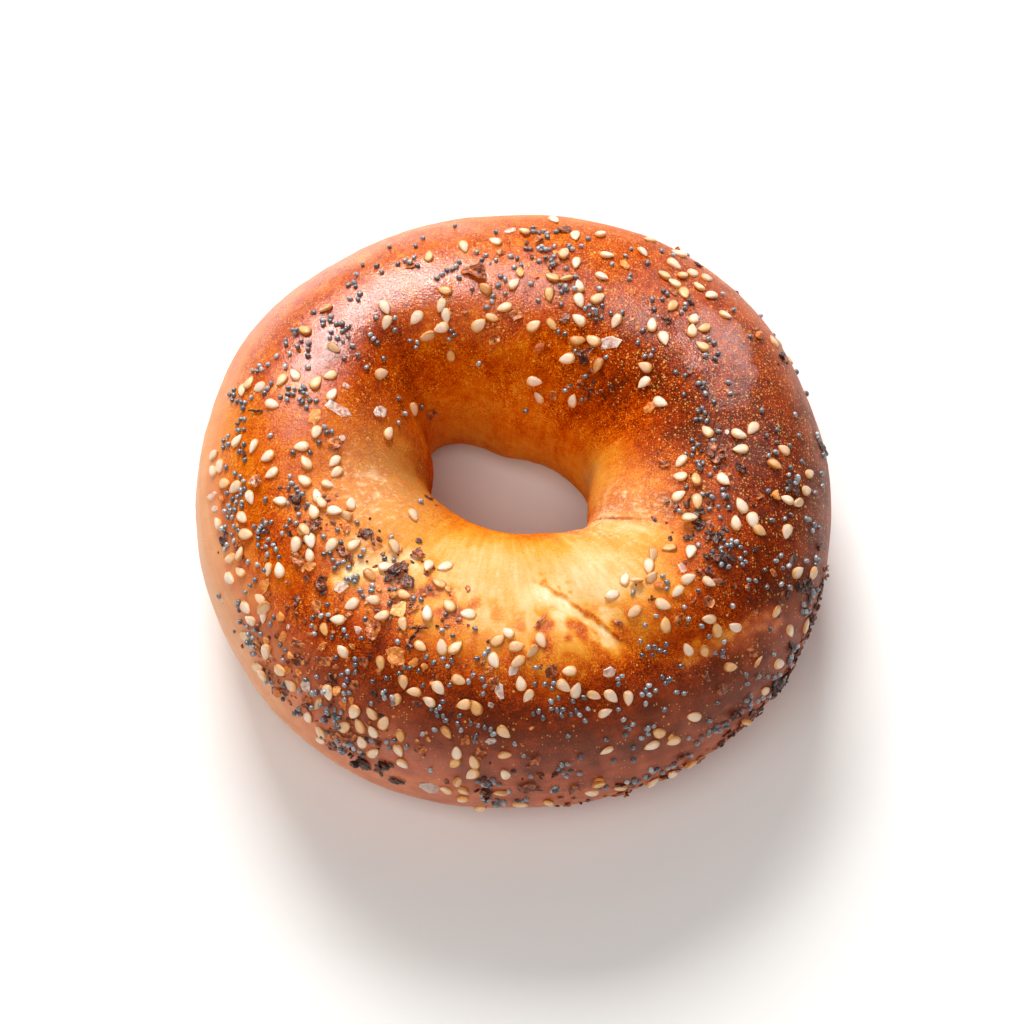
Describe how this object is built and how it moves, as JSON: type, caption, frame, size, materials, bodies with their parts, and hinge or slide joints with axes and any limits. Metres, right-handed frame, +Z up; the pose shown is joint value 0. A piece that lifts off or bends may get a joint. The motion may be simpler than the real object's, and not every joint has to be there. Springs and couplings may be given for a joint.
{
  "type": "bagel",
  "caption": "Whole everything bagel: a baked ring of dough with a small slanted hole, a flat base and mixed seeds, onion, garlic and salt on its crown.",
  "frame": {"origin": "middle of the bagel's box, on the flat base that it stands on", "axes": "+Z up through the hole, +X to the bagel's right, +Y to its back; the lapped seam is at the front right"},
  "size_m": [0.119, 0.1182, 0.0437],
  "materials": {
    "crust": "semi-gloss baked crust",
    "sesame": "satin",
    "poppy": "satin",
    "onion": "rough",
    "garlic": "rough",
    "salt": "translucent crystal"
  },
  "bodies": {
    "root": {"bagel": "crust"}
  },
  "joints": []
}
